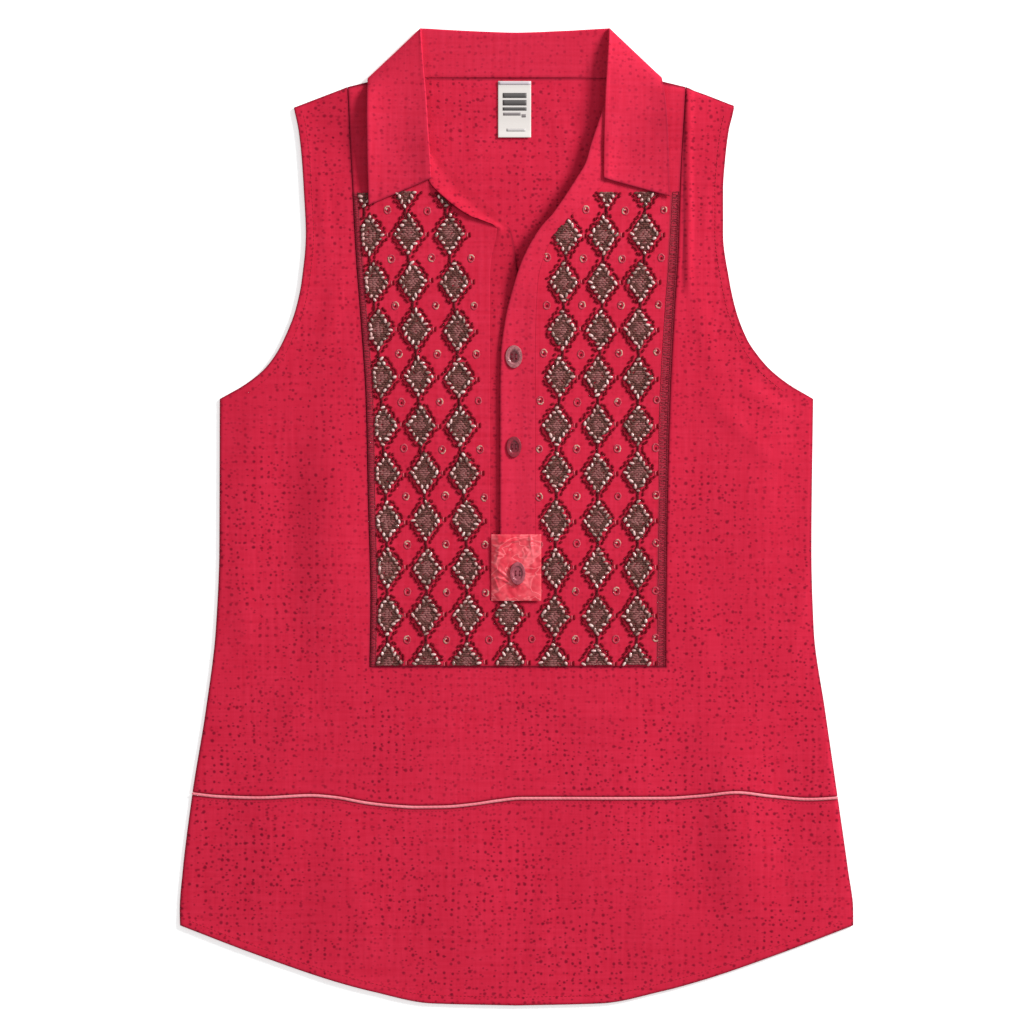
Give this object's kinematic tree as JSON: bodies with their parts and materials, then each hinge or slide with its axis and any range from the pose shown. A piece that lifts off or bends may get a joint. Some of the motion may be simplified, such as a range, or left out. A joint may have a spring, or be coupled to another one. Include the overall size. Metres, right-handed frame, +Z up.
{
  "type": "sleeveless blouse",
  "caption": "Sleeveless collared blouse laid flat, with an embroidered front insert, buttoned placket, open neck and a curved tail below a piped seam.",
  "frame": {"origin": "middle of the laid blouse's length and width, on the surface it lies on", "axes": "+Y from the tail to the collar, +X to the right of a viewer who looks down on the front, +Z up from the surface through the front"},
  "size_m": [0.5561, 0.8066, 0.0126],
  "materials": {
    "red_cotton": "matte slub cotton with small dark woven dots",
    "collar_cotton": "matte slub cotton, two layers pressed",
    "embroidered_cotton": "matte cotton with thread lattice and pale beads",
    "pink_piping": "satin bound cord",
    "shiny_satin": "crinkled glossy satin",
    "woven_label": "woven satin tape",
    "dyed_button": "semi-gloss dyed shell look"
  },
  "bodies": {
    "root": {"back_body": "red_cotton", "back_hem_band": "red_cotton", "front_body": "red_cotton", "front_hem_band": "red_cotton", "bib": "embroidered_cotton", "band_over": "red_cotton", "band_under": "red_cotton", "collar": "collar_cotton", "piping_front": "pink_piping", "piping_back": "pink_piping", "placket_patch": "shiny_satin", "button_top": "dyed_button", "button_middle": "dyed_button", "button_foot": "dyed_button", "neck_label": "woven_label"}
  },
  "joints": []
}
